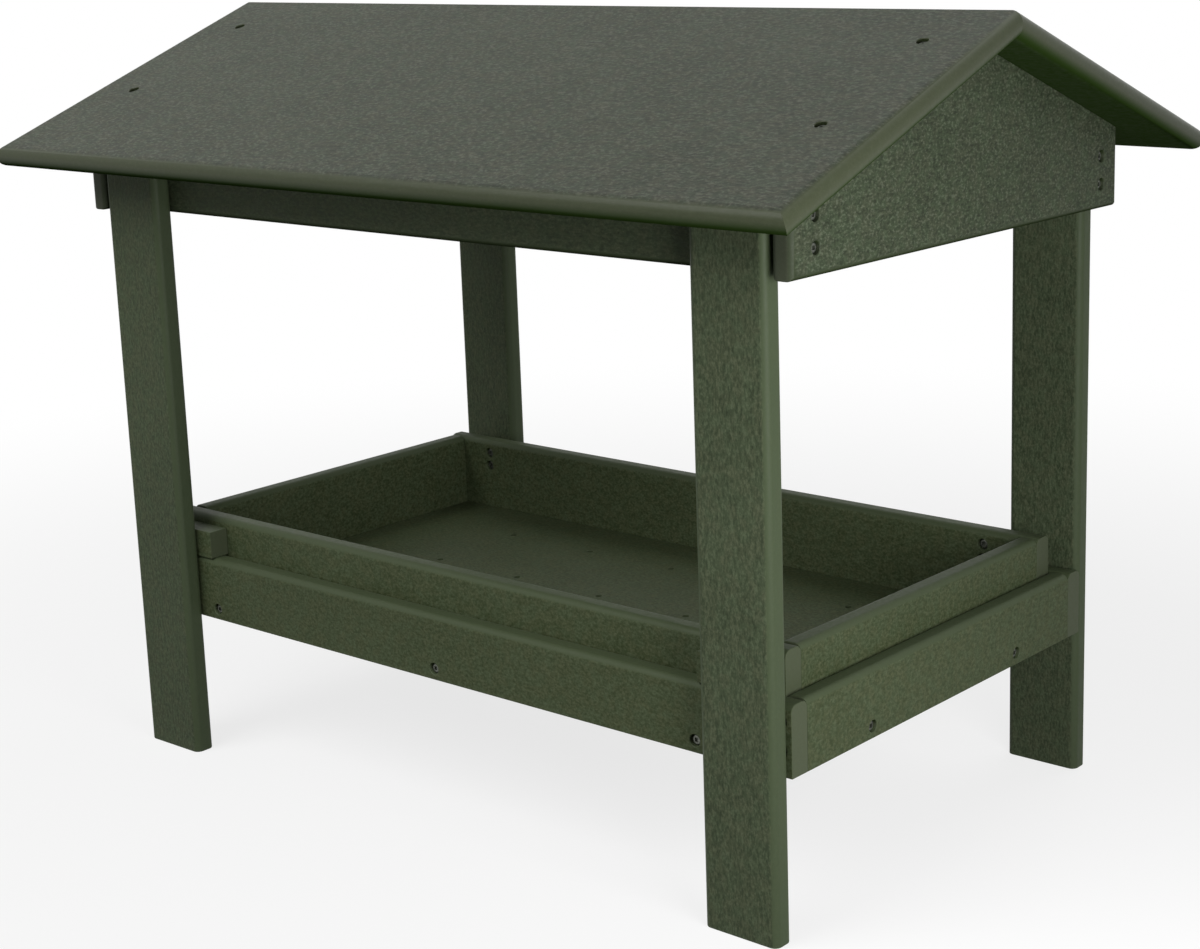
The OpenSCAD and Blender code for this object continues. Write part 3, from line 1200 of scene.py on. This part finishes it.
@dataclass
class Tray:
    """The seed tray: four walls, a floor with drain holes and the blocks behind the long walls.

    Attributes:
        maker: The board maker.
        screws: The screw sets that reach all the walls.
        drain_r: Radius of a drain hole.
        drain_step: Distance between drain holes.
        drains_x: Drain holes along the floor.
        drains_y: Drain holes across it.
    """

    maker: BoardMaker
    screws: tuple[str, ...] = ("tray_joint_screws", "tray_rise_screws")
    drain_r: float = 2.5 * MM
    drain_step: float = 84 * MM
    drains_x: int = 5
    drains_y: int = 3

    def build(self) -> None:
        """Models the tray."""
        for node in ("tray_board_front", "tray_board_rear"):
            names = ("tray_spacer_screws", *self.screws)
            self.maker.make(node, TRAY_GREEN, Axis.X, Axis.Y, Edges.UPPER, names)
        for node in ("tray_board_left", "tray_board_right"):
            self.maker.make(node, TRAY_GREEN, Axis.Y, Axis.X, Edges.UPPER, self.screws)
        self._floor("tray_floor")
        for corner in ("front_left", "front_right", "rear_left", "rear_right"):
            node = "tray_spacer_" + corner
            self.maker.make(node, TRAY_GREEN, Axis.X, Axis.Y, Edges.NONE, ["tray_spacer_screws"])

    def _drain_cutter(self, low: Vector, high: Vector) -> bpy.types.Object:
        """Makes the tool that drills the drain holes.

        Args:
            low: The floor's lowest corner.
            high: The floor's highest corner.

        Returns:
            The joined cutters.
        """
        Bench.clear()
        through = (high.z - low.z) * 1.5
        bpy.ops.mesh.primitive_cylinder_add(vertices=24, radius=self.drain_r, depth=through)
        drill = bpy.context.object
        middle = (low + high) / 2
        along, across = (self.drains_x - 1) / 2, (self.drains_y - 1) / 2
        places = [
            Matrix.Translation(middle + Vector((i - along, j - across, 0)) * self.drain_step)
            for i in range(self.drains_x)
            for j in range(self.drains_y)
        ]
        return Bench.copies(drill, places, "drain_cutter")

    def _floor(self, node: str) -> None:
        """Models the floor.

        Args:
            node: The node that it replaces.
        """
        floor = self.maker.rough_block(node)
        self.maker.soften(floor)
        Bench.subtract(floor, self._drain_cutter(*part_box(node)))
        self.maker.drill(floor, ["skirt_floor_screws", "tray_rise_screws"])
        self.maker.finish(floor, node, TRAY_GREEN, Axis.X, Axis.Z)


@dataclass
class RoofFrame:
    """The top rails and the two gables that carry the roof.

    Attributes:
        maker: The board maker.
        pitch: Slope of the roof, in radians.
    """

    maker: BoardMaker
    pitch: float = ROOF_PITCH

    def build(self) -> None:
        """Models the rails and the gables."""
        for node in ("top_rail_front", "top_rail_rear"):
            names = ("leg_top_screws", "gable_screws")
            self.maker.make(node, LEG_GREEN, Axis.X, Axis.Y, Edges.ALL, names)
        for node in ("gable_left", "gable_right"):
            self._gable(node)

    def _gable(self, node: str) -> None:
        """Models one gable: a block sawn to the roof's slopes.

        Args:
            node: The gable's node.
        """
        low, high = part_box(node)
        peak = Vector(((low.x + high.x) / 2, 0.0, high.z))
        gable = self.maker.rough_block(node)
        for side in (-1, 1):
            Bench.slice(gable, peak, Vector((0.0, side * math.sin(self.pitch), math.cos(self.pitch))))
        self.maker.rout(
            gable,
            lambda middle, way: abs(way.z) > ALONG or (abs(way.y) > ALONG and middle.z < low.z + MM),
        )
        self.maker.soften(gable)
        self.maker.drill(gable, ["gable_screws", "roof_screws"])
        self.maker.finish(gable, node, GABLE_GREEN, Axis.Y, Axis.X)


@dataclass
class Roof:
    """The two roof panels, mitred at the ridge and with round noses on their other edges.

    Attributes:
        maker: The board maker.
        pitch: Slope of the roof, in radians.
        thick: Thickness of a panel.
        slope_length: Length of a panel down its slope.
        nose_r: Radius of the noses.
        nose_steps: Faces across a nose.
    """

    maker: BoardMaker
    pitch: float = ROOF_PITCH
    thick: float = 16 * MM
    slope_length: float = 259.98 * MM
    nose_r: float = 7.7 * MM
    nose_steps: int = 12

    def build(self) -> None:
        """Models both panels."""
        self._panel("roof_panel_front", -1)
        self._panel("roof_panel_rear", 1)

    def _panel(self, node: str, side: int) -> None:
        """Models one panel flat, with its ridge on the X axis, and then tilts it into place.

        Args:
            node: The panel's node.
            side: -1 for the front and 1 for the rear.
        """
        low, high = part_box(node)
        eave = side * self.slope_length
        front, rear = sorted((0.0, eave))
        panel = Bench.block(
            node + "_board", Vector((low.x, front, -self.thick)), Vector((high.x, rear, 0.0))
        )
        mitre = Vector((0.0, -side * math.cos(self.pitch), -math.sin(self.pitch)))
        Bench.slice(panel, Vector(), mitre)
        Bench.round_edges(
            panel,
            self.nose_r,
            self.nose_steps,
            lambda middle, way: (abs(way.x) > ALONG and abs(middle.y - eave) < MM)
            or (abs(way.y) > ALONG and abs(middle.x) > high.x - MM),
        )
        tilt = -side * self.pitch
        panel.rotation_euler = (tilt, 0.0, 0.0)
        panel.location = (0.0, 0.0, high.z)
        Bench.settle(panel)
        self.maker.drill(panel, ["roof_screws"])
        self.maker.finish(panel, node, ROOF_GREEN, Axis.X, Axis.Z, Slot.ROOF, tilt)


@dataclass(frozen=True)
class PhotoCamera:
    """The camera, standing and turned as the photograph's was.

    Attributes:
        place: Where it stands.
        azimuth: How far it is turned from facing along +Y, in degrees.
        elevation: How far it looks down, in degrees.
        roll: How far it leans, in degrees.
        frame_w: Width of the photograph, in pixels.
        frame_h: Height of the photograph, in pixels.
        focal: Focal length, in those pixels.
        centre_x: Where the lens's axis meets the photograph, from its left edge, in pixels.
        centre_y: The same from its top edge.
        sensor: Width of the sensor.
    """

    place: tuple[float, float, float] = (1.0738, -1.1795, 0.6230)
    azimuth: float = 39.905
    elevation: float = 12.941
    roll: float = -1.556
    frame_w: float = 1200.0
    frame_h: float = 949.0
    focal: float = 2235.8
    centre_x: float = 683.9
    centre_y: float = 417.2
    sensor: float = 36.0

    def build(self) -> None:
        """Makes the camera and gives it to the scene."""
        turn, lean = math.radians(self.azimuth), math.radians(self.roll)
        back = outlook(self.azimuth, self.elevation)
        level = Vector((math.cos(turn), math.sin(turn), 0.0))
        upright = back.cross(level)
        right = math.cos(lean) * level + math.sin(lean) * upright
        up = math.cos(lean) * upright - math.sin(lean) * level
        data = bpy.data.cameras.new("photo_camera")
        data.sensor_fit = "HORIZONTAL"
        data.sensor_width = self.sensor
        data.lens = self.focal / self.frame_w * self.sensor
        data.shift_x = (self.frame_w / 2 - self.centre_x) / self.frame_w
        data.shift_y = (self.centre_y - self.frame_h / 2) / self.frame_w
        data.dof.use_dof = False
        data.clip_start, data.clip_end = 0.05, 60.0
        camera = bpy.data.objects.new("photo_camera", data)
        bpy.context.scene.collection.objects.link(camera)
        stance = Matrix((right, up, back)).transposed().to_4x4()
        camera.matrix_world = Matrix.Translation(self.place) @ stance
        bpy.context.scene.camera = camera
        log.info("camera: %.1f mm lens", data.lens)


@dataclass(frozen=True)
class SoftBox:
    """A square lamp that faces the object.

    Attributes:
        name: The lamp's name.
        power: Its power, in watts.
        azimuth: How far it stands round from the front towards the right, in degrees.
        height: Its height above the horizon, in degrees.
        distance: Its distance from the object's middle.
        size: Its side.
    """

    name: str
    power: float
    azimuth: float
    height: float
    distance: float
    size: float

    def build(self) -> None:
        """Makes the lamp."""
        toward = outlook(self.azimuth, self.height)
        data = bpy.data.lights.new(self.name, "AREA")
        data.energy = self.power
        data.shape = "SQUARE"
        data.size = self.size
        lamp = bpy.data.objects.new(self.name, data)
        bpy.context.scene.collection.objects.link(lamp)
        low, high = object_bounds()
        turned = toward.to_track_quat("Z", "Y").to_matrix().to_4x4()
        lamp.matrix_world = Matrix.Translation((low + high) / 2 + toward * self.distance) @ turned


@dataclass(frozen=True)
class Studio:
    """A pale floor, an even white room, a low soft box on the right and higher ones in front and behind.

    Attributes:
        floor_size: Side of the floor.
        floor_seen: The floor's colour as it is seen.
        floor_bounce: The grey at which it throws light back onto the object.
        floor_lift: How much of the floor near the object is plain white, so that its shadow stays soft.
        fade_from: Distance from the middle at which the floor starts to turn plain white.
        fade_to: Distance at which it is all white.
        room: Strength of the room's light on the object.
        boxes: The soft boxes.
    """

    floor_size: float = 40.0
    floor_seen: float = 0.86
    floor_bounce: float = 0.16
    floor_lift: float = 0.78
    fade_from: float = 0.5
    fade_to: float = 1.5
    room: float = 0.14
    boxes: tuple[SoftBox, ...] = (
        SoftBox("right_box", power=4.8, azimuth=67.0, height=5.0, distance=0.95, size=0.4),
        SoftBox("front_box", power=26.5, azimuth=-15.0, height=44.0, distance=2.0, size=1.4),
        SoftBox("rear_box", power=11.0, azimuth=172.0, height=50.0, distance=2.2, size=1.4),
    )

    def build(self) -> None:
        """Makes the floor, the room and the lamps, and sets the view."""
        self._floor()
        self._room()
        for box in self.boxes:
            box.build()
        bpy.context.scene.view_settings.view_transform = "Standard"

    @staticmethod
    def _seen(graph: FinishGraph) -> Signal:
        """Finds the rays that show the background: camera, glossy and transmission.

        Args:
            graph: The graph of the floor or of the room.

        Returns:
            A mask that is 1 for those rays.
        """
        rays = graph.node("ShaderNodeLightPath")
        seen = Signal(graph, rays.outputs["Is Camera Ray"])
        for output in ("Is Glossy Ray", "Is Transmission Ray"):
            seen = seen.largest(Signal(graph, rays.outputs[output]))
        return seen

    def _floor(self) -> None:
        """Makes the floor."""
        Bench.clear()
        bpy.ops.mesh.primitive_plane_add(size=self.floor_size)
        floor = bpy.context.object
        floor.name = "studio_floor"
        material, graph = FinishGraph.new_material("pale_floor")
        seen = self._seen(graph)
        place = graph.signal("ShaderNodeTexCoord", "Object")
        away = graph.signal("ShaderNodeVectorMath", "Value", {"operation": "LENGTH"}, {0: place})
        fade = away.between(self.fade_from, self.fade_to)
        white = seen * (self.floor_lift + (1.0 - self.floor_lift) * fade)
        bounce, pale = ((level, level, level, 1.0) for level in (self.floor_bounce, self.floor_seen))
        lit = graph.node("ShaderNodeBsdfDiffuse", None, {"Color": graph.blend(seen, bounce, pale)})
        plain = graph.node("ShaderNodeEmission", None, {"Color": WHITE})
        graph.surface(graph.mix(white, lit, plain))
        floor.data.materials.append(material)
        floor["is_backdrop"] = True

    def _room(self) -> None:
        """Makes the world: white where it is seen, and dimmer where it lights the object."""
        world = bpy.data.worlds.new("white_room")
        bpy.context.scene.world = world
        world.use_nodes = True
        graph = FinishGraph(world.node_tree)
        strength = self.room + (1.0 - self.room) * self._seen(graph)
        background = graph.node("ShaderNodeBackground", None, {"Color": WHITE, "Strength": strength})
        graph.surface(background, "ShaderNodeOutputWorld")


SCREW_NODES = (
    "roof_screws", "gable_screws", "leg_top_screws", "leg_tray_screws", "skirt_corner_screws",
    "skirt_floor_screws", "tray_spacer_screws", "tray_joint_screws", "tray_rise_screws",
)


def main() -> None:
    """Builds the feeder's looks in order."""
    logging.basicConfig(level=logging.INFO, format="%(message)s")
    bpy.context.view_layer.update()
    PhotoCamera().build()
    Studio().build()
    screws = {node: ScrewSet(node) for node in SCREW_NODES}
    maker = BoardMaker(screws)
    for part in (Legs(maker), Skirt(maker), Tray(maker), RoofFrame(maker), Roof(maker)):
        part.build()
    steel = SteelFinish().material("screw_steel")
    for group in screws.values():
        group.build(steel)


if __name__ == "__main__":
    main()
